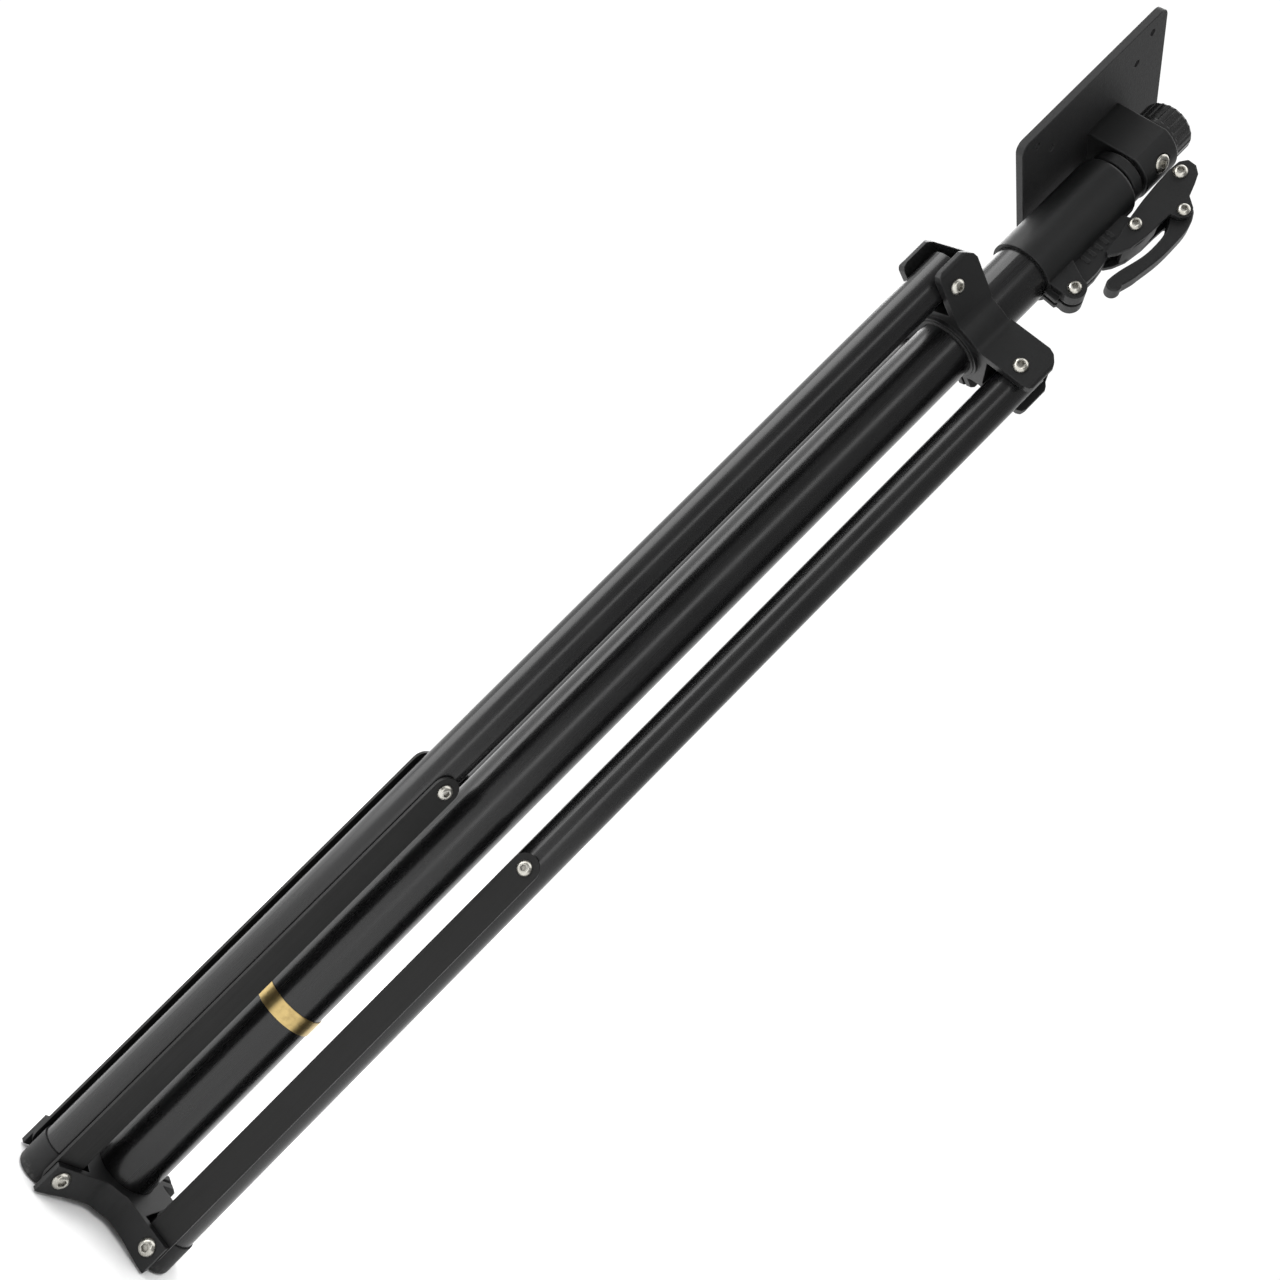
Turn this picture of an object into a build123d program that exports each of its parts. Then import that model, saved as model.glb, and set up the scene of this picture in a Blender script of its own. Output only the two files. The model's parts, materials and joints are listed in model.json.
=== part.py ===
from build123d import *
import math
import os

os.makedirs("parts", exist_ok=True)

# ---------------------------------------------------------------------------
# Folding three-leg studio stand with a clamped telescopic mast and a square
# mounting plate.  Millimetres, +Z up, origin on the column axis at floor level.
# ---------------------------------------------------------------------------

# --- driving dimensions ----------------------------------------------------
LEG_AZ = (-19.0, 101.0, 221.0)   # azimuth of each leg
ARM_AZ = 101.0                   # azimuth of the quick-release clamp
LUG_AZ = 161.0                   # azimuth of the pinch lugs on crown and hub

COL_R = 19.05                    # column tube, outside radius (1.5 in tube)
COL_RI = 17.45                   # column tube, inside radius
COL_Z0, COL_Z1 = 3.2, 804.0

MAST_R = 15.875                  # telescopic mast, outside radius (1.25 in tube)
MAST_RI = 14.375
MAST_Z0, MAST_Z1 = 300.0, 858.0

LEG_R, LEG_RI = 12.0, 10.5       # leg tube
LEG_Z0, LEG_Z1 = 4.2, 700.5
LEG_RHO = 44.2                   # radius of the legs from the column axis
PIN_C_Z = 691.0                  # crown pivot height
PIN_M_Z = 288.7                  # rivet height on the leg
PIN_H_Z = 11.0                   # hub pivot height

STRAP_W = 17.0                   # brace strap width
STRAP_T = 2.0                    # brace strap thickness
STRAP_IN = 13.0                  # inner face of the strap from the leg centre line
STRAP_OUT = STRAP_IN + STRAP_T

CROWN_Z0, CROWN_Z1 = 682.0, 710.2
CROWN_END = 58.4                 # radius of the ends of the crown's arms
CROWN_BORE = 21.10
CROWN_CHEEK_IN, CROWN_CHEEK_OUT = 12.45, 17.4

HUB_CHEEK_IN, HUB_CHEEK_OUT = 15.3, 18.5
HUB_Z1 = 18.0

COLLAR_R = 21.5
COLLAR_Z0, COLLAR_Z1 = 746.5, 824.0

PLATE_W = 118.0                  # plate width
PLATE_H = 126.0                  # plate height
PLATE_T = 5.5
PLATE_Y0 = -30.5                 # outer face of the plate
PLATE_ZC = 840.5
HOLE_A, HOLE_B = 100.0, 75.0     # the two hole squares
HOLE_R = 2.25

BLOCK_Z0, BLOCK_Z1 = 835.5, 863.6
BLOCK_REACH = 19.6               # radius of the block's free end
LOCK_AZ, LOCK_Z = 72.0, 850.0    # head lock screw

PIVOT_2 = (31.2, 808.4)          # clamp arm pivot (radius, height)
PIVOT_1 = (28.2, 852.4)          # pressure roller pin
PIVOT_L = (46.0, 833.6)          # cam lever pin
EAR = (32.2, 753.8)              # collar pinch bolt


# --- reference frames --------------------------------------------------------
def unit(az):
    a = math.radians(az)
    return (math.cos(a), math.sin(a), 0.0)


def tang(az):
    a = math.radians(az)
    return (-math.sin(a), math.cos(a), 0.0)


def side_plane(az, h=0.0):
    """Upright plane through the column axis: local x is the radius, local y is
    the height.  h moves it along the tangent."""
    t = tang(az)
    return Plane(origin=(h * t[0], h * t[1], 0), x_dir=unit(az),
                 z_dir=(-t[0], -t[1], 0))


def pin_plane(az, rho, z):
    """Plane for turned pins lying along the tangent: local x runs along the
    pin, local y is the radius from the pin's axis."""
    u = unit(az)
    return Plane(origin=(rho * u[0], rho * u[1], z), x_dir=tang(az), z_dir=u)


def pin_axis(az, rho, z):
    u = unit(az)
    return Axis((rho * u[0], rho * u[1], z), tang(az))


def export(item, name):
    item.part.label = name
    export_step(item.part, "parts/" + name + ".step")


def head_plane(az, rho, z, h, s):
    """Plane on the end of a pin, h from the centre, facing the side s."""
    u, t = unit(az), tang(az)
    return Plane(origin=(rho * u[0] + h * t[0], rho * u[1] + h * t[1], z),
                 x_dir=(0, 0, 1), z_dir=(s * t[0], s * t[1], 0))


def double_pin(az, rho, z, half, shank, head, thick, hexr):
    """Turned pin with a domed socket head at each end."""
    with BuildPart() as pin:
        with BuildSketch(pin_plane(az, rho, z)):
            with BuildLine():
                Polyline((-half - thick, 0), (-half - thick, 0.55 * head))
                ThreePointArc((-half - thick, 0.55 * head),
                              (-half - 0.62 * thick, 0.86 * head), (-half, head))
                Polyline((-half, head), (-half, shank), (half, shank), (half, head))
                ThreePointArc((half, head), (half + 0.62 * thick, 0.86 * head),
                              (half + thick, 0.55 * head))
                Polyline((half + thick, 0.55 * head), (half + thick, 0),
                         (-half - thick, 0))
            make_face()
        revolve(axis=pin_axis(az, rho, z))
        for s in (-1, 1):
            with BuildSketch(head_plane(az, rho, z, s * (half + thick), s)):
                RegularPolygon(radius=hexr, side_count=6)
            extrude(amount=-0.62 * thick, mode=Mode.SUBTRACT)
    return pin.part


def half_pin(az, rho, z, inner, under, shank, head, thick, hexr, s):
    """Short pin with one domed socket head, on the side s of the centre line."""
    with BuildPart() as pin:
        with BuildSketch(pin_plane(az, rho, z)):
            with BuildLine():
                Polyline((s * inner, 0), (s * inner, shank), (s * under, shank),
                         (s * under, head))
                ThreePointArc((s * under, head),
                              (s * (under + 0.62 * thick), 0.86 * head),
                              (s * (under + thick), 0.55 * head))
                Polyline((s * (under + thick), 0.55 * head), (s * (under + thick), 0),
                         (s * inner, 0))
            make_face()
        revolve(axis=pin_axis(az, rho, z))
        with BuildSketch(head_plane(az, rho, z, s * (under + thick), s)):
            RegularPolygon(radius=hexr, side_count=6)
        extrude(amount=-0.55 * thick, mode=Mode.SUBTRACT)
    return pin.part


def hex_bolt(az, rho, z, half, shank, flats):
    """Hexagon bolt and nut along the tangent."""
    with BuildPart() as bolt:
        with BuildSketch(head_plane(az, rho, z, -half, 1)):
            Circle(shank)
        extrude(amount=2 * half + 4.6)
        with BuildSketch(head_plane(az, rho, z, -half, 1)):
            RegularPolygon(radius=flats / math.sqrt(3), side_count=6)
        extrude(amount=-3.5)
        with BuildSketch(head_plane(az, rho, z, half, 1)):
            RegularPolygon(radius=flats / math.sqrt(3), side_count=6)
        extrude(amount=3.6)
    return bolt.part


def export_group(pieces, name):
    """One node out of several identical loose pieces."""
    with BuildPart() as group:
        for piece in pieces:
            add(piece)
    export(group, name)


# ===========================================================================
# COLUMN, HUB AND COLLAR (the fixed body)
# ===========================================================================
with BuildPart() as column_tube:
    with BuildSketch(Plane.XY.offset(COL_Z0)):
        Circle(COL_R)
        Circle(COL_RI, mode=Mode.SUBTRACT)
    extrude(amount=COL_Z1 - COL_Z0)
export(column_tube, "column_tube")

with BuildPart() as column_plug:
    with BuildSketch(Plane.XY):
        Circle(COL_R - 0.25)
    extrude(amount=3.15)
    chamfer(column_plug.edges().filter_by(GeomType.CIRCLE).sort_by(Axis.Z)[0], 1.0)
    with BuildSketch(Plane.XY.offset(3.15)):
        Circle(COL_RI - 0.05)
    extrude(amount=15)
    with BuildSketch(Plane.XY.offset(18.15)):
        Circle(COL_RI - 3)
    extrude(amount=-13, mode=Mode.SUBTRACT)
export(column_plug, "column_plug")

with BuildPart() as column_band:
    with BuildSketch(Plane.XY.offset(136.3)):
        Circle(COL_R + 0.42)
        Circle(COL_R + 0.02, mode=Mode.SUBTRACT)
    extrude(amount=9.8)
export(column_band, "column_band")

with BuildPart() as hub_casting:
    # plan outline: round boss, three wide arms and the pinch lug, with concave
    # webs between them
    with BuildSketch(Plane.XY.offset(1.0)):
        Circle(25.5)
        for az in LEG_AZ:
            with Locations(Plane(origin=(0, 0, 0), x_dir=unit(az), z_dir=(0, 0, 1))):
                with Locations((26.1, 0)):
                    Rectangle(52.2, 2 * HUB_CHEEK_OUT)
        fillet([v for v in vertices() if 22 < math.hypot(v.X, v.Y) < 32], 7.0)
    extrude(amount=HUB_Z1 - 1.0)
    # open slot between the cheeks, right through
    for az in LEG_AZ:
        with BuildSketch(Plane.XY.offset(-1)):
            with Locations(Plane(origin=(0, 0, 0), x_dir=unit(az), z_dir=(0, 0, 1))):
                with Locations((31.0 + 20, 0)):
                    Rectangle(40, 2 * HUB_CHEEK_IN)
        extrude(amount=40, mode=Mode.SUBTRACT)
        with BuildSketch(side_plane(az)):
            with Locations((LEG_RHO, PIN_H_Z)):
                Circle(3.0)
        extrude(amount=30, both=True, mode=Mode.SUBTRACT)
        # underside rises towards the boss
        with BuildSketch(side_plane(az)):
            with BuildLine():
                Polyline((0, -2), (54, -2), (54, 0.6), (46, 1.2), (30, 3.0), (0, 3.0),
                         (0, -2))
            make_face()
        extrude(amount=40, both=True, mode=Mode.SUBTRACT)
    # pinch lug
    with BuildSketch(side_plane(LUG_AZ)):
        with BuildLine():
            Polyline((21, 3), (34.4, 3), (36.2, 5), (36.2, 16), (33.6, 18), (21, 18),
                     (21, 3))
        make_face()
    extrude(amount=5.0, both=True)
    with BuildSketch(Plane.XY):
        Circle(COL_R + 0.05)
    extrude(amount=60, mode=Mode.SUBTRACT)
    with BuildSketch(side_plane(LUG_AZ)):
        with Locations((25, 20)):
            Rectangle(26, 60)
    extrude(amount=1.2, both=True, mode=Mode.SUBTRACT)
    with BuildSketch(side_plane(LUG_AZ)):
        with Locations((31.4, 10.5)):
            Circle(2.6)
    extrude(amount=20, both=True, mode=Mode.SUBTRACT)
export(hub_casting, "hub_casting")

export_group([hex_bolt(LUG_AZ, 31.4, 10.5, 5.0, 2.5, 7.5)], "hub_pinch_bolt")

export_group([half_pin(az, LEG_RHO, PIN_H_Z, STRAP_IN + 0.02, HUB_CHEEK_OUT, 2.98, 5.0,
                       2.5, 2.3, s) for az in LEG_AZ for s in (-1, 1)],
             "hub_pivot_screws")

with BuildPart() as collar_casting:
    with BuildSketch(Plane.XY.offset(COLLAR_Z0)):
        Circle(COLLAR_R)
    extrude(amount=COLLAR_Z1 - COLLAR_Z0)
    fillet(collar_casting.edges().filter_by(GeomType.CIRCLE).sort_by(Axis.Z)[-1], 2.5)
    # fin that carries the clamp arm
    with BuildSketch(side_plane(ARM_AZ)):
        with BuildLine():
            Polyline((18, 752), (29, 754), (34.4, 762), (34.6, 772), (33.4, 780),
                     (31.6, 786), (32.0, 798), (35.6, 804.5), (36.2, 809.5), (34.2, 813.6),
                     (30.5, 814.8), (18, 809), (18, 752))
        make_face()
    extrude(amount=5.5, both=True)
    # ribs pressed into the flanks of the fin
    with BuildSketch(side_plane(ARM_AZ)):
        for z in (774.0, 779.5, 785.0, 790.5, 796.0):
            with Locations((24.0, z)):
                SlotOverall(6.5, 2.4)
    extrude(amount=6.2, both=True)
    # pinch ears
    with BuildSketch(side_plane(ARM_AZ)):
        with BuildLine():
            Polyline((18, 746.8), (30.4, 746.8))
            ThreePointArc((30.4, 746.8), (39.5, 753.8), (32.2, 761.3))
            Polyline((32.2, 761.3), (18, 768), (18, 746.8))
        make_face()
    extrude(amount=8.6, both=True)
    # small lip under the ears
    with BuildSketch(side_plane(ARM_AZ)):
        Polygon((19.5, 748.5), (19.5, 743.4), (28.6, 742.8), (29.4, 744.2), (27.6, 748.5),
                align=None)
    extrude(amount=4.0, both=True)
    # bores: column below, mast above
    with BuildSketch(Plane.XY.offset(COLLAR_Z0 - 5)):
        Circle(COL_R + 0.05)
    extrude(amount=COL_Z1 + 0.3 - COLLAR_Z0 + 5, mode=Mode.SUBTRACT)
    with BuildSketch(Plane.XY.offset(COLLAR_Z0)):
        Circle(MAST_R + 0.35)
    extrude(amount=100, mode=Mode.SUBTRACT)
    # full-length slot
    with BuildSketch(side_plane(ARM_AZ)):
        with Locations((32, 785)):
            Rectangle(36, 130)
    extrude(amount=1.2, both=True, mode=Mode.SUBTRACT)
    with BuildSketch(side_plane(ARM_AZ)):
        with Locations(EAR):
            Circle(2.6)
        with Locations(PIVOT_2):
            Circle(2.52)
    extrude(amount=20, both=True, mode=Mode.SUBTRACT)
export(collar_casting, "collar_casting")

export_group([double_pin(ARM_AZ, EAR[0], EAR[1], 8.6, 2.5, 4.4, 2.6, 2.0)],
             "collar_pinch_bolt")

export_group([double_pin(ARM_AZ, PIVOT_2[0], PIVOT_2[1], 8.95, 2.5, 4.3, 2.4, 2.0)],
             "clamp_arm_pivot")

with BuildPart() as guide_bush:
    with BuildSketch(Plane.XY.offset(770)):
        Circle(COL_RI - 0.03)
        Circle(MAST_R + 0.06, mode=Mode.SUBTRACT)
    extrude(amount=34)
export(guide_bush, "guide_bush")

# ===========================================================================
# CROWN (slides on the column)
# ===========================================================================
with BuildPart() as crown_casting:
    with BuildSketch(Plane.XY.offset(CROWN_Z0)):
        Circle(26.5)
        for az in LEG_AZ:
            with Locations(Plane(origin=(0, 0, 0), x_dir=unit(az), z_dir=(0, 0, 1))):
                with Locations((CROWN_END / 2, 0)):
                    Rectangle(CROWN_END, 2 * CROWN_CHEEK_OUT)
        fillet([v for v in vertices() if 22 < math.hypot(v.X, v.Y) < 35], 10.0)
        fillet([v for v in vertices() if math.hypot(v.X, v.Y) > 56], 3.0)
    extrude(amount=CROWN_Z1 - CROWN_Z0)
    for az in LEG_AZ:
        # slot for the leg, open outwards and downwards
        with BuildSketch(side_plane(az)):
            with Locations((27.9 + 20, 691.3)):
                Rectangle(40, 31.0)
        extrude(amount=CROWN_CHEEK_IN, both=True, mode=Mode.SUBTRACT)
        # sloping shoulder at the end of each arm, rounded lower corner
        with BuildSketch(side_plane(az)):
            with BuildLine():
                Polyline((49.5, CROWN_Z1 + 1), (49.5, CROWN_Z1), (53.5, 708.6),
                         (57.2, 704.8), (CROWN_END + 1, 701.0), (CROWN_END + 2, 712),
                         (49.5, CROWN_Z1 + 1))
            make_face()
            with BuildLine():
                Polyline((54.4, CROWN_Z0 - 1), (54.4, CROWN_Z0), (57.2, 683.2),
                         (CROWN_END + 0.2, 686.4), (CROWN_END + 2, 686.4),
                         (CROWN_END + 2, CROWN_Z0 - 1), (54.4, CROWN_Z0 - 1))
            make_face()
        extrude(amount=25, both=True, mode=Mode.SUBTRACT)
        with BuildSketch(side_plane(az)):
            with Locations((LEG_RHO, PIN_C_Z)):
                Circle(3.02)
        extrude(amount=30, both=True, mode=Mode.SUBTRACT)
        # shallow valley between this arm and the next, on top and below
        with BuildSketch(side_plane(az + 60)):
            with BuildLine():
                Polyline((20, CROWN_Z1 + 1), (20, CROWN_Z1 - 0.2), (31, CROWN_Z1 - 2.2),
                         (34, CROWN_Z1 - 4.0), (34, CROWN_Z1 + 1), (20, CROWN_Z1 + 1))
            make_face()
        extrude(amount=9, both=True, mode=Mode.SUBTRACT)
    # skirt under the crown and the pinch lug
    with BuildSketch(Plane.XY.offset(679.6)):
        Circle(22.9)
    extrude(amount=4.0)
    with BuildSketch(side_plane(LUG_AZ)):
        with BuildLine():
            Polyline((22, 682), (34.0, 682), (36.2, 684.5), (36.2, 702), (31, 706), (22, 706),
                     (22, 682))
        make_face()
    extrude(amount=5.0, both=True)
    with BuildSketch(Plane.XY.offset(650)):
        Circle(CROWN_BORE)
    extrude(amount=80, mode=Mode.SUBTRACT)
    with BuildSketch(side_plane(LUG_AZ)):
        with Locations((28, 690)):
            Rectangle(26, 70)
    extrude(amount=1.2, both=True, mode=Mode.SUBTRACT)
    with BuildSketch(side_plane(LUG_AZ)):
        with Locations((31.4, 690.5)):
            Circle(2.6)
    extrude(amount=20, both=True, mode=Mode.SUBTRACT)
export(crown_casting, "crown_casting")

with BuildPart() as crown_liner:
    with BuildSketch(Plane.XY.offset(679.0)):
        Circle(CROWN_BORE - 0.03)
        Circle(COL_R + 0.07, mode=Mode.SUBTRACT)
    extrude(amount=710.8 - 679.0)
export(crown_liner, "crown_liner")

export_group([hex_bolt(LUG_AZ, 31.4, 690.5, 5.0, 2.5, 7.5)], "crown_pinch_bolt")

export_group([double_pin(az, LEG_RHO, PIN_C_Z, CROWN_CHEEK_OUT, 2.98, 4.8, 2.5, 2.2)
              for az in LEG_AZ], "crown_pivot_pins")

# ===========================================================================
# LEGS
# ===========================================================================
for n, az in enumerate(LEG_AZ, 1):
    leg_plane = Plane(origin=(LEG_RHO * unit(az)[0], LEG_RHO * unit(az)[1], 0),
                      x_dir=unit(az), z_dir=(0, 0, 1))

    with BuildPart() as leg_tube:
        with BuildSketch(leg_plane.offset(LEG_Z0)):
            Circle(LEG_R)
            Circle(LEG_RI, mode=Mode.SUBTRACT)
        extrude(amount=LEG_Z1 - LEG_Z0)
        with BuildSketch(side_plane(az)):
            with Locations((LEG_RHO, PIN_C_Z)):
                Circle(3.05)
            with Locations((LEG_RHO, PIN_M_Z)):
                Circle(2.6)
        extrude(amount=20, both=True, mode=Mode.SUBTRACT)
    export(leg_tube, "leg_%d_tube" % n)

    with BuildPart() as leg_plug:
        with BuildSketch(leg_plane.offset(LEG_Z1 - 21)):
            Circle(LEG_RI - 0.03)
        extrude(amount=21)
        with BuildSketch(side_plane(az)):
            with Locations((LEG_RHO, PIN_C_Z)):
                Circle(3.05)
        extrude(amount=20, both=True, mode=Mode.SUBTRACT)
    export(leg_plug, "leg_%d_top_plug" % n)

    with BuildPart() as leg_boot:
        with BuildSketch(leg_plane):
            Circle(12.75)
        extrude(amount=18.5)
        fillet(leg_boot.edges().filter_by(GeomType.CIRCLE).sort_by(Axis.Z)[0], 1.6)
        with BuildSketch(leg_plane.offset(18.5)):
            Circle(LEG_R + 0.02)
        extrude(amount=-14.4, mode=Mode.SUBTRACT)
    export(leg_boot, "leg_%d_boot" % n)

    with BuildPart() as rivet_core:
        with BuildSketch(side_plane(az)):
            with Locations((LEG_RHO, PIN_M_Z)):
                Circle(2.57)
                Circle(1.4, mode=Mode.SUBTRACT)
        extrude(amount=11.6, both=True)
    export(rivet_core, "leg_%d_rivet_core" % n)

# ===========================================================================
# BRACES
# ===========================================================================
for n, az in enumerate(LEG_AZ, 1):
    for side, s in (("left", 1), ("right", -1)):
        with BuildPart() as strap:
            with BuildSketch(side_plane(az, s * (STRAP_IN + STRAP_OUT) / 2)):
                with Locations((LEG_RHO, (PIN_M_Z + PIN_H_Z) / 2)):
                    SlotCenterToCenter(PIN_M_Z - PIN_H_Z, STRAP_W, rotation=90)
                with Locations((LEG_RHO, PIN_M_Z)):
                    Circle(2.6, mode=Mode.SUBTRACT)
                with Locations((LEG_RHO, PIN_H_Z)):
                    Circle(3.04, mode=Mode.SUBTRACT)
            extrude(amount=STRAP_T / 2, both=True)
        export(strap, "brace_%d_%s_strap" % (n, side))
    export_group([half_pin(az, LEG_RHO, PIN_M_Z, STRAP_IN + 0.02, STRAP_OUT, 2.57, 4.7,
                           2.3, 1.9, s) for s in (-1, 1)], "brace_%d_rivets" % n)

# ===========================================================================
# MAST
# ===========================================================================
with BuildPart() as mast_tube:
    with BuildSketch(Plane.XY.offset(MAST_Z0)):
        Circle(MAST_R)
        Circle(MAST_RI, mode=Mode.SUBTRACT)
    extrude(amount=MAST_Z1 - MAST_Z0)
export(mast_tube, "mast_tube")

with BuildPart() as mast_glide:
    with BuildSketch(Plane.XY.offset(296)):
        Circle(COL_RI - 0.06)
        Circle(MAST_R + 0.02, mode=Mode.SUBTRACT)
    extrude(amount=34)
    with BuildSketch(Plane.XY.offset(292)):
        Circle(COL_RI - 0.06)
        Circle(MAST_RI - 2, mode=Mode.SUBTRACT)
    extrude(amount=7.9)
    with BuildSketch(Plane.XY.offset(299.9)):
        Circle(MAST_RI - 0.03)
        Circle(MAST_RI - 2, mode=Mode.SUBTRACT)
    extrude(amount=16)
export(mast_glide, "mast_glide")

with BuildPart() as mast_stop_ring:
    with BuildSketch(Plane.XY.offset(826.2)):
        Circle(18.6)
        Circle(MAST_R + 0.02, mode=Mode.SUBTRACT)
    extrude(amount=7.2)
    chamfer(mast_stop_ring.edges().filter_by(GeomType.CIRCLE)
            .group_by(SortBy.RADIUS)[-1], 0.8)
export(mast_stop_ring, "mast_stop_ring")

with BuildPart() as mast_top_insert:
    with BuildSketch(Plane.XY.offset(MAST_Z1 - 26)):
        Circle(MAST_RI - 0.03)
    extrude(amount=26)
    with BuildSketch(Plane.XY.offset(MAST_Z1)):
        Circle(4.05)
    extrude(amount=-21, mode=Mode.SUBTRACT)
export(mast_top_insert, "mast_top_insert")

# ===========================================================================
# HEAD (turns on the mast)
# ===========================================================================
PLATE_YI = PLATE_Y0 + PLATE_T    # inner face of the plate
SCREW_XZ = [(x, z) for x in (-13, 13) for z in (842.5, 857)]
LOCK_FLAT = 18.0                 # radius of the flat under the lock screw head
END_HW = 17.2                    # half width where the free end starts
END_Y = math.sqrt(BLOCK_REACH ** 2 - END_HW ** 2)
with BuildPart() as head_block:
    # bar from the plate, tapering to a rounded free end
    with BuildSketch(Plane.XY.offset(BLOCK_Z0)):
        with BuildLine():
            Polyline((-END_HW, END_Y), (-20, PLATE_YI + 3), (-20, PLATE_YI), (20, PLATE_YI),
                     (20, PLATE_YI + 3), (END_HW, END_Y))
            ThreePointArc((END_HW, END_Y), (0, BLOCK_REACH), (-END_HW, END_Y))
        make_face()
    extrude(amount=BLOCK_Z1 - BLOCK_Z0)
    fillet([e for e in head_block.edges()
            if e.center().Y > PLATE_YI + 1.0
            and min(abs(e.center().Z - BLOCK_Z0), abs(e.center().Z - BLOCK_Z1)) < 0.01], 1.2)
    # flat under the lock screw
    with BuildSketch(Plane(origin=(LOCK_FLAT * unit(LOCK_AZ)[0],
                                   LOCK_FLAT * unit(LOCK_AZ)[1], LOCK_Z),
                           x_dir=(0, 0, 1), z_dir=unit(LOCK_AZ))):
        Circle(6.0)
    extrude(amount=8, mode=Mode.SUBTRACT)
    # mast bore with a closed top, stud hole through the top
    with BuildSketch(Plane.XY.offset(BLOCK_Z0 - 1)):
        Circle(MAST_R + 0.055)
    extrude(amount=MAST_Z1 + 0.2 - BLOCK_Z0 + 1, mode=Mode.SUBTRACT)
    with BuildSketch(Plane.XY.offset(BLOCK_Z0)):
        Circle(4.06)
    extrude(amount=60, mode=Mode.SUBTRACT)
    # lock screw hole in the boss, screw holes in the plate face
    with BuildSketch(Plane(origin=(10 * unit(LOCK_AZ)[0], 10 * unit(LOCK_AZ)[1], LOCK_Z),
                           x_dir=(0, 0, 1), z_dir=unit(LOCK_AZ))):
        Circle(2.53)
    extrude(amount=12, mode=Mode.SUBTRACT)
    with BuildSketch(Plane.XZ.offset(-PLATE_YI)):
        with Locations(*SCREW_XZ):
            Circle(2.53)
    extrude(amount=-9.4, mode=Mode.SUBTRACT)
export(head_block, "head_block")

with BuildPart() as mount_plate:
    with BuildSketch(Plane.XZ.offset(-PLATE_Y0)):
        with Locations((0, PLATE_ZC)):
            RectangleRounded(PLATE_W, PLATE_H, 6.0)
            for pitch in (HOLE_A, HOLE_B):
                with GridLocations(pitch, pitch, 2, 2):
                    Circle(HOLE_R, mode=Mode.SUBTRACT)
    extrude(amount=-PLATE_T)
    with BuildSketch(Plane.XZ.offset(-PLATE_Y0)):
        with Locations(*SCREW_XZ):
            Circle(2.6)
    extrude(amount=-PLATE_T, mode=Mode.SUBTRACT)
    with BuildSketch(Plane.XZ.offset(-PLATE_Y0)):
        with Locations(*SCREW_XZ):
            Circle(4.9)
    extrude(amount=-2.6, taper=40, mode=Mode.SUBTRACT)
    chamfer(mount_plate.edges().filter_by(Plane.XZ)
            .filter_by(lambda e: abs(e.center().X) > 50 and e.length > 8
                       or abs(e.center().Z - PLATE_ZC) > 58), 0.4)
export(mount_plate, "mount_plate")

with BuildPart() as plate_screws:
    for x, z in SCREW_XZ:
        with BuildSketch(Plane(origin=(x, PLATE_Y0, z), x_dir=(0, 1, 0),
                               z_dir=(1, 0, 0))):
            with BuildLine():
                Polyline((0.15, 0), (0.15, 4.55), (2.5, 2.55), (2.5, 2.48),
                         (PLATE_T + 9.0, 2.48), (PLATE_T + 9.0, 0), (0.15, 0))
            make_face()
        revolve(axis=Axis((x, PLATE_Y0, z), (0, 1, 0)))
        with BuildSketch(Plane(origin=(x, PLATE_Y0 + 0.15, z), x_dir=(1, 0, 0),
                               z_dir=(0, -1, 0))):
            RegularPolygon(radius=1.7, side_count=6)
        extrude(amount=-1.7, mode=Mode.SUBTRACT)
export(plate_screws, "plate_screws")

with BuildPart() as head_lock_screw:
    with BuildSketch(Plane(origin=(0, 0, LOCK_Z), x_dir=unit(LOCK_AZ),
                           z_dir=tuple(-c for c in tang(LOCK_AZ)))):
        with BuildLine():
            Polyline((MAST_R + 0.25, 0), (MAST_R + 0.25, 2.48), (LOCK_FLAT, 2.48),
                     (LOCK_FLAT, 5.6), (LOCK_FLAT + 1.3, 5.6))
            ThreePointArc((LOCK_FLAT + 1.3, 5.6), (LOCK_FLAT + 2.15, 5.0),
                          (LOCK_FLAT + 2.5, 4.0))
            Polyline((LOCK_FLAT + 2.5, 4.0), (LOCK_FLAT + 2.5, 0), (MAST_R + 0.25, 0))
        make_face()
    revolve(axis=Axis((0, 0, LOCK_Z), unit(LOCK_AZ)))
    with BuildSketch(Plane(origin=tuple((LOCK_FLAT + 2.5) * unit(LOCK_AZ)[i]
                                        for i in (0, 1)) + (LOCK_Z,),
                           x_dir=(0, 0, 1), z_dir=unit(LOCK_AZ))):
        RegularPolygon(radius=2.6, side_count=6)
    extrude(amount=-1.8, mode=Mode.SUBTRACT)
export(head_lock_screw, "head_lock_screw")

# ===========================================================================
# KNOB
# ===========================================================================
KNOB_Z0, KNOB_Z1, KNOB_R = 864.0, 880.0, 17.4
with BuildPart() as knob:
    with BuildSketch(Plane.XY.offset(KNOB_Z0)):
        Circle(KNOB_R)
    extrude(amount=KNOB_Z1 - KNOB_Z0)
    fillet(knob.edges().filter_by(GeomType.CIRCLE).sort_by(Axis.Z)[-1], 2.6)
    with BuildSketch(Plane.XY.offset(KNOB_Z0 + 2.4)):
        with PolarLocations(KNOB_R + 0.75, 24):
            Circle(1.35)
    extrude(amount=30, mode=Mode.SUBTRACT)
    with BuildSketch(Plane.XY.offset(KNOB_Z1)):
        Circle(10.5)
    extrude(amount=-1.0, mode=Mode.SUBTRACT)
    with BuildSketch(Plane.XY.offset(KNOB_Z0)):
        Circle(4.0)
    extrude(amount=12, mode=Mode.SUBTRACT)
export(knob, "knob")

with BuildPart() as knob_stud:
    with BuildSketch(Plane.XY.offset(838)):
        Circle(3.97)
    extrude(amount=KNOB_Z0 + 11.9 - 838)
    chamfer(knob_stud.edges().filter_by(GeomType.CIRCLE).sort_by(Axis.Z)[0], 0.8)
export(knob_stud, "knob_stud")

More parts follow.
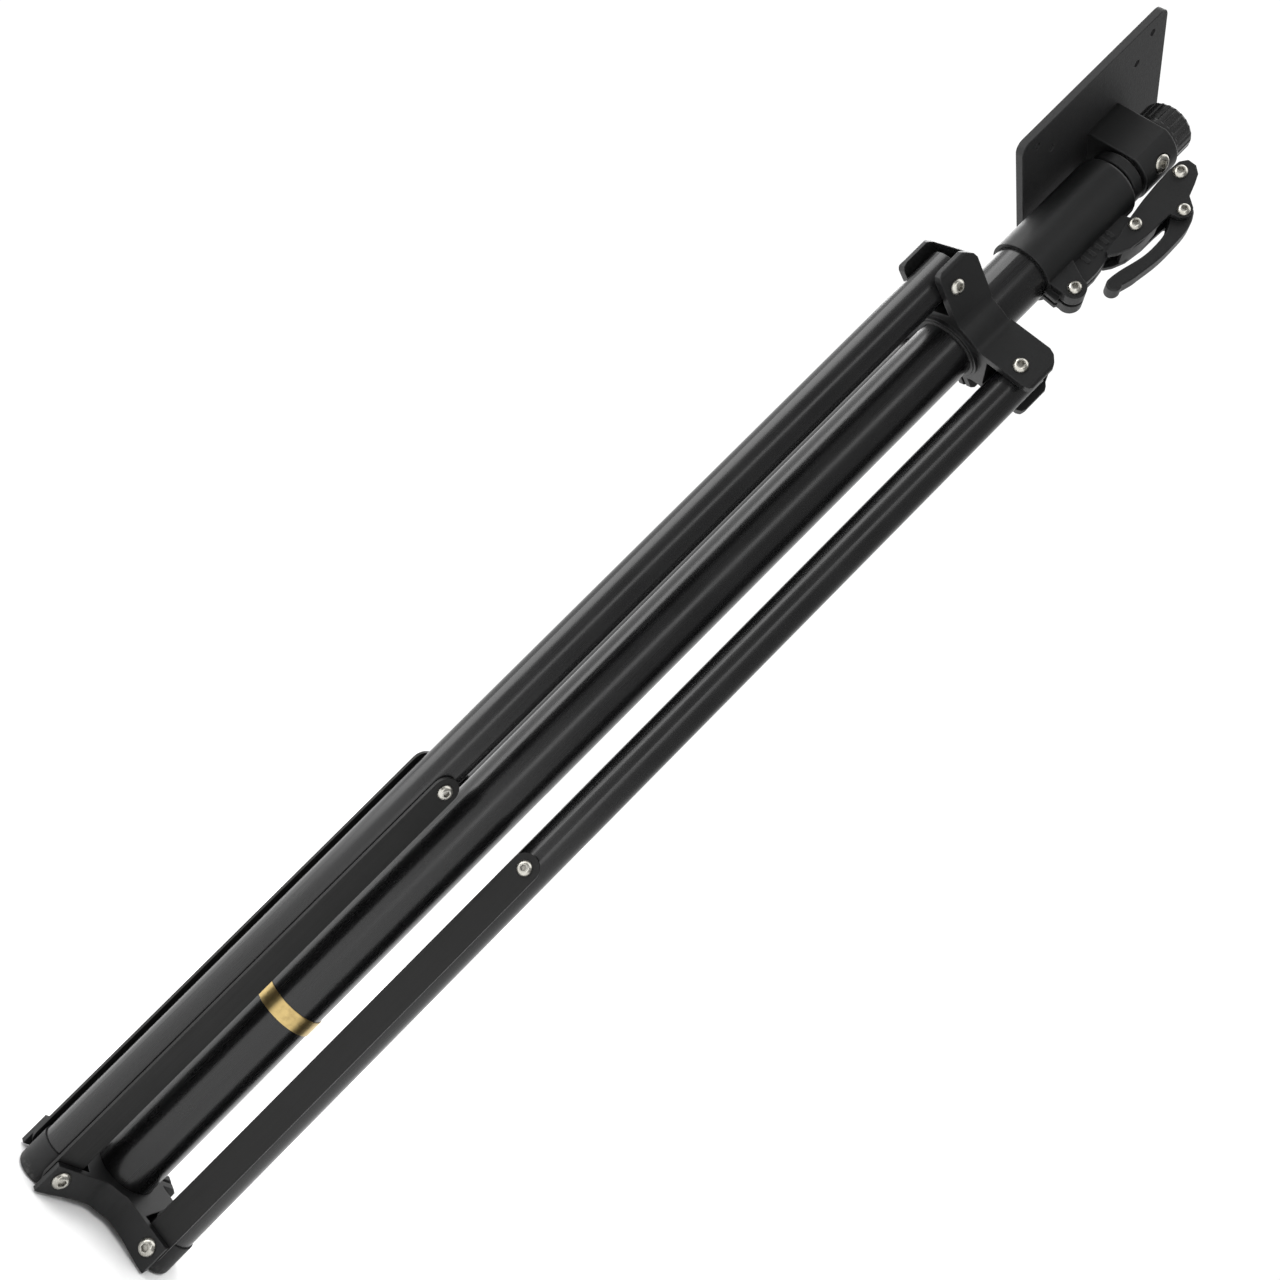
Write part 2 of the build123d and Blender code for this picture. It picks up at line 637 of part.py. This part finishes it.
# ===========================================================================
# QUICK-RELEASE CLAMP
# ===========================================================================
with BuildPart() as clamp_arm:
    for s in (-1, 1):
        with BuildSketch(side_plane(ARM_AZ, s * 7.3)):
            Polygon((30.2, 784.0), (32.6, 782.6), (36.2, 787.4), (39.6, 795.3), (41.4, 807.7),
                    (41.6, 819.0), (42.2, 827.2), (47.4, 827.9), (51.2, 832.4),
                    (49.6, 838.0), (42.8, 843.0), (39.8, 851.5), (37.0, 857.9),
                    (32.4, 861.7), (26.6, 861.9), (23.2, 857.6), (22.5, 849.0),
                    (22.9, 838.0), (24.2, 823.5), (26.2, 810.0), (29.2, 796.5), align=None)
            fillet(vertices(), 1.3)
        extrude(amount=1.5, both=True)
        with BuildSketch(side_plane(ARM_AZ)):
            with Locations(PIVOT_1):
                Circle(2.52)
            with Locations(PIVOT_2):
                Circle(2.56)
            with Locations(PIVOT_L):
                Circle(2.22)
        extrude(amount=20, both=True, mode=Mode.SUBTRACT)
    # outer web between the cheeks, below the lever
    with BuildSketch(side_plane(ARM_AZ)):
        with BuildLine():
            Spline((37.6, 791.0), (39.7, 796.5), (41.3, 807.7), (40.9, 818.5))
            Polyline((40.9, 818.5), (38.2, 818.5))
            Spline((38.2, 818.5), (38.9, 808.0), (37.2, 797.0), (35.2, 791.5))
            Polyline((35.2, 791.5), (37.6, 791.0))
        make_face()
    extrude(amount=5.9, both=True)
    # upper web, above the lever
    with BuildSketch(side_plane(ARM_AZ)):
        with BuildLine():
            Polyline((39.5, 848.0), (38.9, 852.2), (36.2, 857.4), (34.2, 856.0), (36.6, 851.0),
                     (37.0, 848.0), (39.5, 848.0))
        make_face()
    extrude(amount=5.9, both=True)
export(clamp_arm, "clamp_arm")

with BuildPart() as pressure_roller:
    with BuildSketch(side_plane(ARM_AZ)):
        with Locations(PIVOT_1):
            Circle(4.7)
            Circle(2.54, mode=Mode.SUBTRACT)
    extrude(amount=5.6, both=True)
    chamfer(pressure_roller.edges().filter_by(GeomType.CIRCLE)
            .group_by(SortBy.RADIUS)[-1], 0.6)
export(pressure_roller, "pressure_roller")

export_group([double_pin(ARM_AZ, PIVOT_1[0], PIVOT_1[1], 8.85, 2.5, 4.6, 2.6, 2.1)],
             "roller_pin")

export_group([double_pin(ARM_AZ, PIVOT_L[0], PIVOT_L[1], 8.85, 2.18, 4.0, 2.2, 1.8)],
             "lever_pin")

with BuildPart() as cam_lever:
    with BuildSketch(side_plane(ARM_AZ)):
        with BuildLine():
            ThreePointArc((40.6, 832.0), (44.4, 841.2), (51.6, 837.4))
            Spline((51.6, 837.4), (54.4, 830.9), (55.7, 818.1), (55.3, 799.3),
                   (53.5, 787.0), (50.7, 775.4),
                   tangents=[(0.55, -0.83), (-0.3, -0.95)])
            ThreePointArc((50.7, 775.4), (45.6, 768.3), (42.2, 773.6))
            Spline((42.2, 773.6), (44.2, 785.2), (47.2, 797.3), (47.8, 809.9),
                   (45.9, 820.4), (42.6, 826.6), (40.6, 832.0),
                   tangents=[(0.05, 1), (-0.25, 1)])
        make_face()
    extrude(amount=5.0, both=True)
    fillet(cam_lever.edges().filter_by(
        lambda e: abs(abs(e.center().dot(Vector(*tang(ARM_AZ)))) - 5.0) < 0.02), 1.2)
    with BuildSketch(side_plane(ARM_AZ)):
        with Locations(PIVOT_L):
            Circle(2.23)
    extrude(amount=10, both=True, mode=Mode.SUBTRACT)
export(cam_lever, "cam_lever")

# --- figures used for the joints -------------------------------------------
L1 = PIN_C_Z - PIN_M_Z
L2 = PIN_M_Z - PIN_H_Z
ALPHA = 36.0
BETA = math.degrees(math.asin(L1 * math.sin(math.radians(ALPHA)) / L2))
SLIDE = L1 + L2 - L1 * math.cos(math.radians(ALPHA)) - L2 * math.cos(math.radians(BETA))
print("leg swing %.3f deg, brace swing %.3f deg, crown travel %.3f mm"
      % (ALPHA, BETA, SLIDE))
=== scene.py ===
import json
import math

import bmesh
import bpy
from mathutils import Matrix, Vector

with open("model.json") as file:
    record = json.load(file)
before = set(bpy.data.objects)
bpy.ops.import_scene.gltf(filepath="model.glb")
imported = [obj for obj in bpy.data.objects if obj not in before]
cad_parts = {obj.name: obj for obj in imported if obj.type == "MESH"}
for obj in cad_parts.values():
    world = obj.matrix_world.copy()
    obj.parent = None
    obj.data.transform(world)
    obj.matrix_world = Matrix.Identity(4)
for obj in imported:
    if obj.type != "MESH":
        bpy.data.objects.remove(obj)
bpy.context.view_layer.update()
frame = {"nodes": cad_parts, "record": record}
nodes = frame["nodes"]
scene = bpy.context.scene


# ---------------------------------------------------------------------------
# node helpers
# ---------------------------------------------------------------------------
class Mat:
    """A small builder for procedural materials in the object's own metres."""

    def __init__(self, name):
        self.m = bpy.data.materials.new(name)
        self.m.use_nodes = True
        self.t = self.m.node_tree
        self.t.nodes.clear()
        self.out = self.t.nodes.new("ShaderNodeOutputMaterial")
        self.b = self.t.nodes.new("ShaderNodeBsdfPrincipled")
        self.t.links.new(self.b.outputs[0], self.out.inputs["Surface"])
        self.co = self.t.nodes.new("ShaderNodeTexCoord").outputs["Object"]

    def new(self, kind, **props):
        n = self.t.nodes.new(kind)
        for k, v in props.items():
            setattr(n, k, v)
        return n

    def link(self, a, b):
        self.t.links.new(a, b)

    def scaled(self, scale, rotation=(0, 0, 0)):
        n = self.new("ShaderNodeMapping")
        n.inputs["Scale"].default_value = scale
        n.inputs["Rotation"].default_value = rotation
        self.link(self.co, n.inputs["Vector"])
        return n.outputs[0]

    def noise(self, scale, detail=3.0, rough=0.55, vector=None, distortion=0.0):
        n = self.new("ShaderNodeTexNoise")
        n.inputs["Scale"].default_value = scale
        n.inputs["Detail"].default_value = detail
        n.inputs["Roughness"].default_value = rough
        n.inputs["Distortion"].default_value = distortion
        self.link(vector or self.co, n.inputs["Vector"])
        return n.outputs["Fac"]

    def cells(self, scale, vector=None):
        n = self.new("ShaderNodeTexVoronoi")
        n.inputs["Scale"].default_value = scale
        self.link(vector or self.co, n.inputs["Vector"])
        return n.outputs["Distance"]

    def remap(self, v, a, b, c, d):
        n = self.new("ShaderNodeMapRange")
        n.inputs["From Min"].default_value = a
        n.inputs["From Max"].default_value = b
        n.inputs["To Min"].default_value = c
        n.inputs["To Max"].default_value = d
        self.link(v, n.inputs["Value"])
        return n.outputs[0]

    def math(self, op, a, b):
        n = self.new("ShaderNodeMath", operation=op)
        for i, v in enumerate((a, b)):
            if isinstance(v, (int, float)):
                n.inputs[i].default_value = v
            else:
                self.link(v, n.inputs[i])
        return n.outputs[0]

    def mix(self, fac, a, b):
        n = self.new("ShaderNodeMix", data_type="RGBA")
        self.link(fac, n.inputs["Factor"])
        for sock, v in ((n.inputs[6], a), (n.inputs[7], b)):
            if isinstance(v, tuple):
                sock.default_value = (*v, 1.0)
            else:
                self.link(v, sock)
        return n.outputs[2]

    def edges(self, radius):
        """0 on flats, towards 1 on edges, from how far a rounded normal leans."""
        bev = self.new("ShaderNodeBevel", samples=4)
        bev.inputs["Radius"].default_value = radius
        geo = self.new("ShaderNodeNewGeometry")
        dot = self.new("ShaderNodeVectorMath", operation="DOT_PRODUCT")
        self.link(bev.outputs[0], dot.inputs[0])
        self.link(geo.outputs["True Normal"], dot.inputs[1])
        return self.remap(dot.outputs["Value"], 1.0, 0.75, 0.0, 1.0)

    def bump(self, heights, radius=None):
        """heights: list of (socket, distance in metres)."""
        last = None
        if radius:
            bev = self.new("ShaderNodeBevel", samples=4)
            bev.inputs["Radius"].default_value = radius
            last = bev.outputs[0]
        for sock, dist in heights:
            n = self.new("ShaderNodeBump")
            n.inputs["Strength"].default_value = 1.0
            n.inputs["Distance"].default_value = dist
            self.link(sock, n.inputs["Height"])
            if last is not None:
                self.link(last, n.inputs["Normal"])
            last = n.outputs[0]
        self.link(last, self.b.inputs["Normal"])

    def color(self, v):
        if isinstance(v, tuple):
            self.b.inputs["Base Color"].default_value = (*v, 1.0)
        else:
            self.link(v, self.b.inputs["Base Color"])

    def rough(self, v):
        if isinstance(v, float):
            self.b.inputs["Roughness"].default_value = v
        else:
            self.link(v, self.b.inputs["Roughness"])

    def set(self, **kw):
        for k, v in kw.items():
            self.b.inputs[k.replace("_", " ")].default_value = v
        return self


def gloss_tube():
    """Gloss black powder coat: orange peel, faint long rub marks, soft clouding."""
    a = Mat("gloss_tube")
    cloud = a.noise(35.0, 4.0)
    rub = a.noise(1.0, 3.0, 0.6, a.scaled((420.0, 420.0, 9.0)))
    peel = a.noise(620.0, 2.0, 0.5)
    specks = a.noise(420.0, 5.0, 0.75)
    dust = a.remap(specks, 0.70, 0.82, 0.0, 1.0)
    a.color(a.mix(a.math("MULTIPLY", dust, 0.14),
                  a.mix(cloud, (0.0034, 0.0034, 0.0036), (0.0060, 0.0060, 0.0063)),
                  (0.045, 0.044, 0.042)))
    r = a.math("ADD", a.remap(cloud, 0.3, 0.7, 0.23, 0.29),
               a.remap(rub, 0.52, 0.75, 0.0, 0.07))
    a.rough(r)
    a.bump([(peel, 0.0000022)], 0.0006)
    a.set(Specular_IOR_Level=0.42, Coat_Weight=0.08, Coat_Roughness=0.18)
    return a.m


def casting():
    """Satin charcoal powder coat on a die casting, rubbed a little on its edges."""
    a = Mat("casting")
    cloud = a.noise(60.0, 5.0)
    grain = a.noise(1700.0, 3.0, 0.6)
    pit = a.cells(900.0)
    edge = a.edges(0.0011)
    wear = a.math("MULTIPLY", edge, a.remap(a.noise(320.0, 4.0, 0.7), 0.42, 0.68, 0.15, 1.0))
    base = a.mix(cloud, (0.0048, 0.0050, 0.0052), (0.0085, 0.0087, 0.0089))
    a.color(a.mix(a.math("MULTIPLY", wear, 0.45), base, (0.045, 0.045, 0.045)))
    a.rough(a.math("SUBTRACT", a.remap(grain, 0.2, 0.8, 0.36, 0.50),
                   a.math("MULTIPLY", wear, 0.08)))
    a.bump([(grain, 0.000035), (pit, 0.000022), (cloud, 0.00010)], 0.0009)
    a.set(Specular_IOR_Level=0.28)
    return a.m


def strap():
    """Matte black paint on rolled flat steel."""
    a = Mat("strap")
    roll = a.noise(1.0, 4.0, 0.6, a.scaled((900.0, 900.0, 18.0)))
    grain = a.noise(1300.0, 3.0, 0.6)
    cloud = a.noise(45.0, 4.0)
    edge = a.edges(0.0007)
    base = a.mix(cloud, (0.0040, 0.0040, 0.0039), (0.0072, 0.0072, 0.0070))
    a.color(a.mix(a.math("MULTIPLY", edge, 0.4), base, (0.040, 0.040, 0.039)))
    a.rough(a.remap(roll, 0.3, 0.7, 0.38, 0.54))
    a.bump([(grain, 0.00003), (roll, 0.00002)], 0.0005)
    a.set(Specular_IOR_Level=0.26)
    return a.m


def plate():
    """Fine textured dark grey powder coat on sheet metal."""
    a = Mat("plate")
    grit = a.cells(760.0)
    fine = a.noise(1500.0, 3.0, 0.65)
    cloud = a.noise(28.0, 5.0, 0.6)
    smear = a.noise(1.0, 4.0, 0.6, a.scaled((70.0, 70.0, 260.0), (0.2, 0.5, 0.1)))
    edge = a.edges(0.0006)
    base = a.mix(cloud, (0.0085, 0.0087, 0.0090), (0.0135, 0.0137, 0.0140))
    base = a.mix(a.remap(smear, 0.60, 0.78, 0.0, 0.35), base, (0.022, 0.022, 0.0215))
    a.color(a.mix(a.math("MULTIPLY", edge, 0.45), base, (0.055, 0.055, 0.055)))
    a.rough(a.remap(fine, 0.25, 0.75, 0.46, 0.62))
    a.bump([(grit, 0.00005), (fine, 0.00003)], 0.0005)
    a.set(Specular_IOR_Level=0.28)
    return a.m


def zinc():
    """Bright nickel plated fasteners with a warm tint, and painted shade darkening the
    sockets and recesses.
    """
    a = Mat("zinc")
    turn = a.noise(1.0, 3.0, 0.6, a.scaled((2400.0, 2400.0, 2400.0)))
    stain = a.noise(260.0, 4.0, 0.6)
    base = a.mix(a.remap(stain, 0.35, 0.7, 0.0, 1.0), (0.50, 0.49, 0.45),
                 (0.36, 0.345, 0.305))
    # painted shade: an ambient occlusion mask darkens the colour towards dark brown in
    # sockets and recesses, standing in for shadow
    ao = a.new("ShaderNodeAmbientOcclusion", samples=4)
    ao.inputs["Distance"].default_value = 0.0022
    socket_shade = a.remap(ao.outputs["AO"], 0.35, 0.85, 0.0, 1.0)
    a.color(a.mix(socket_shade, (0.10, 0.095, 0.085), base))
    a.rough(a.remap(turn, 0.3, 0.7, 0.20, 0.34))
    a.bump([(turn, 0.00001)], 0.0004)
    a.set(Metallic=1.0)
    return a.m


def raw_alloy():
    """Turned aluminium insert."""
    a = Mat("raw_alloy")
    rings = a.noise(1.0, 2.0, 0.5, a.scaled((60.0, 60.0, 2600.0)))
    stain = a.noise(150.0, 4.0)
    a.color(a.mix(stain, (0.60, 0.60, 0.61), (0.48, 0.48, 0.49)))
    a.rough(a.remap(rings, 0.3, 0.7, 0.26, 0.42))
    a.bump([(rings, 0.00001)], 0.0004)
    a.set(Metallic=1.0)
    return a.m


def brass_band():
    """Brushed gold coloured band, brushed around the tube and dulled in patches."""
    a = Mat("brass_band")
    brush = a.noise(1.0, 4.0, 0.65, a.scaled((80.0, 80.0, 5200.0)))
    patch = a.noise(120.0, 4.0, 0.6)
    base = a.mix(brush, (0.40, 0.29, 0.115), (0.62, 0.47, 0.21))
    a.color(a.mix(a.remap(patch, 0.5, 0.75, 0.0, 0.6), base, (0.22, 0.15, 0.06)))
    a.rough(a.remap(brush, 0.3, 0.7, 0.26, 0.46))
    a.bump([(brush, 0.000012)], 0.0003)
    a.set(Metallic=1.0)
    return a.m


def boot_rubber():
    """Moulded rubber boots: fine spark texture, scuffed towards the sole."""
    a = Mat("boot_rubber")
    grain = a.noise(1500.0, 3.0, 0.6)
    cloud = a.noise(90.0, 4.0)
    scuff = a.noise(420.0, 5.0, 0.7)
    sep = a.new("ShaderNodeSeparateXYZ")
    a.link(a.co, sep.inputs[0])
    low = a.remap(sep.outputs["Z"], 0.006, 0.0, 0.0, 1.0)
    worn = a.math("MULTIPLY", low, a.remap(scuff, 0.45, 0.62, 0.0, 1.0))
    base = a.mix(cloud, (0.0065, 0.0065, 0.0068), (0.0110, 0.0110, 0.0113))
    a.color(a.mix(worn, base, (0.060, 0.058, 0.056)))
    a.rough(a.remap(grain, 0.25, 0.75, 0.48, 0.64))
    a.bump([(grain, 0.00004), (cloud, 0.00012)], 0.0012)
    a.set(Specular_IOR_Level=0.28)
    return a.m


def black_plastic():
    """Matte moulded nylon."""
    a = Mat("black_plastic")
    grain = a.noise(1600.0, 3.0, 0.6)
    cloud = a.noise(140.0, 4.0)
    a.color(a.mix(cloud, (0.010, 0.010, 0.010), (0.020, 0.020, 0.020)))
    a.rough(a.remap(grain, 0.25, 0.75, 0.45, 0.62))
    a.bump([(grain, 0.00003)], 0.0004)
    return a.m


def knob_plastic():
    """Gloss black moulded knob with faint handling marks."""
    a = Mat("knob_plastic")
    smudge = a.noise(190.0, 5.0, 0.65, distortion=0.4)
    fine = a.noise(1500.0, 2.0, 0.5)
    edge = a.edges(0.0008)
    base = a.mix(smudge, (0.007, 0.007, 0.007), (0.013, 0.013, 0.013))
    a.color(a.mix(a.math("MULTIPLY", edge, 0.35), base, (0.05, 0.05, 0.05)))
    a.rough(a.remap(smudge, 0.35, 0.7, 0.14, 0.30))
    a.bump([(fine, 0.000008)], 0.0006)
    a.set(Coat_Weight=0.3, Coat_Roughness=0.08)
    return a.m


MATS = {
    "gloss_tube": gloss_tube(), "casting": casting(), "strap": strap(), "plate": plate(),
    "zinc": zinc(), "raw_alloy": raw_alloy(), "brass_band": brass_band(),
    "boot_rubber": boot_rubber(), "black_plastic": black_plastic(),
    "knob_plastic": knob_plastic(),
}
SLOT_OF = {s["node"]: s["material_slot"] for s in frame["record"]["subparts"]}
for name, obj in nodes.items():
    mat = MATS[SLOT_OF[name]]
    if not obj.material_slots:
        obj.data.materials.append(mat)
    for s in obj.material_slots:
        s.material = mat


# ---------------------------------------------------------------------------
# floor, light and camera
# ---------------------------------------------------------------------------
def floor_mesh():
    bm = bmesh.new()
    half, n = 6.0, 12
    grid = [[bm.verts.new((-half + 2 * half * i / n, -half + 2 * half * j / n, 0.0))
             for j in range(n + 1)] for i in range(n + 1)]
    for i in range(n):
        for j in range(n):
            bm.faces.new((grid[i][j], grid[i + 1][j], grid[i + 1][j + 1], grid[i][j + 1]))
    me = bpy.data.meshes.new("studio_floor")
    bm.to_mesh(me)
    bm.free()
    o = bpy.data.objects.new("studio_floor", me)
    scene.collection.objects.link(o)
    o.location.z = -0.0004
    return o


floor = floor_mesh()
fm = Mat("floor_paper")
paper = fm.noise(300.0, 3.0)
fm.color(fm.mix(paper, (0.90, 0.90, 0.90), (0.93, 0.93, 0.93)))
fm.rough(fm.remap(paper, 0.3, 0.7, 0.85, 0.95))
fm.set(Specular_IOR_Level=0.1)
floor.data.materials.append(fm.m)

world = bpy.data.worlds.new("studio")
scene.world = world
world.use_nodes = True
wt = world.node_tree
wt.nodes.clear()
wo = wt.nodes.new("ShaderNodeOutputWorld")
bg = wt.nodes.new("ShaderNodeBackground")
tc = wt.nodes.new("ShaderNodeTexCoord")
dot = wt.nodes.new("ShaderNodeVectorMath")
dot.operation = "DOT_PRODUCT"
AZ_BRIGHT = math.radians(240.0)
dot.inputs[1].default_value = (math.cos(AZ_BRIGHT), math.sin(AZ_BRIGHT), 0.0)
mr = wt.nodes.new("ShaderNodeMapRange")
mr.interpolation_type = "SMOOTHSTEP"
mr.inputs["From Min"].default_value = -0.55
mr.inputs["From Max"].default_value = 0.55
mr.inputs["To Min"].default_value = 0.34
mr.inputs["To Max"].default_value = 1.0
wt.links.new(tc.outputs["Generated"], dot.inputs[0])
wt.links.new(dot.outputs["Value"], mr.inputs["Value"])
wt.links.new(mr.outputs[0], bg.inputs["Color"])
bg.inputs["Strength"].default_value = 1.06
wt.links.new(bg.outputs[0], wo.inputs["Surface"])

CAM_AZ = 27.3


def area(name, az, dist, z, sx, sy, power, aim_z=0.5):
    ld = bpy.data.lights.new(name, "AREA")
    ld.shape = "RECTANGLE"
    ld.size, ld.size_y = sx, sy
    ld.energy = power
    o = bpy.data.objects.new(name, ld)
    scene.collection.objects.link(o)
    a = math.radians(az)
    o.location = (dist * math.cos(a), dist * math.sin(a), z)
    d = Vector((0, 0, aim_z)) - o.location
    o.rotation_euler = d.to_track_quat("-Z", "Y").to_euler()
    return o


# azimuth relative to the camera: negative is to the left in the picture
area("soft_left", CAM_AZ - 75, 1.9, 0.9, 1.5, 2.0, 34.0)
area("strip_front", CAM_AZ + 8, 2.2, 0.8, 0.42, 1.9, 7.0)
area("soft_top", CAM_AZ - 150, 1.6, 2.1, 1.4, 1.4, 22.0)

sky = bpy.data.lights.new("overhead", "SUN")
sky.energy = 2.1
sky.angle = math.radians(80.0)
sky_obj = bpy.data.objects.new("overhead", sky)
scene.collection.objects.link(sky_obj)
sky_obj.location = (0.0, 0.0, 3.0)

# camera
F = Vector((-1, 0, 0))
R = Vector((0, 1, 0))
U = Vector((0, 0, 1))


def turn(vectors, angle, axis):
    m = Matrix.Rotation(math.radians(angle), 3, axis)
    return [m @ v for v in vectors]


F, R = turn((F, R), 30.66, U)
F, U = turn((F, U), 5.16, R)
R, U = turn((R, U), -1.13, F)
F, R, U = turn((F, R, U), -2.9, Vector((0, 0, 1)))
TH = math.radians(43.9)
cx = math.cos(TH) * R + math.sin(TH) * U
cy = -math.sin(TH) * R + math.cos(TH) * U
cz = -F
scene.view_settings.view_transform = "Standard"
cam_data = bpy.data.cameras.new("camera")
cam_data.sensor_width = 36.0
cam_data.lens = 1250.2 / 1280.0 * 36.0
cam_data.clip_start = 0.02
cam_data.clip_end = 60.0
cam = bpy.data.objects.new("camera", cam_data)
scene.collection.objects.link(cam)
m = Matrix((cx, cy, cz)).transposed().to_4x4()
m.translation = Vector((0.6430, 0.3319, 0.3600))
cam.matrix_world = m
scene.camera = cam
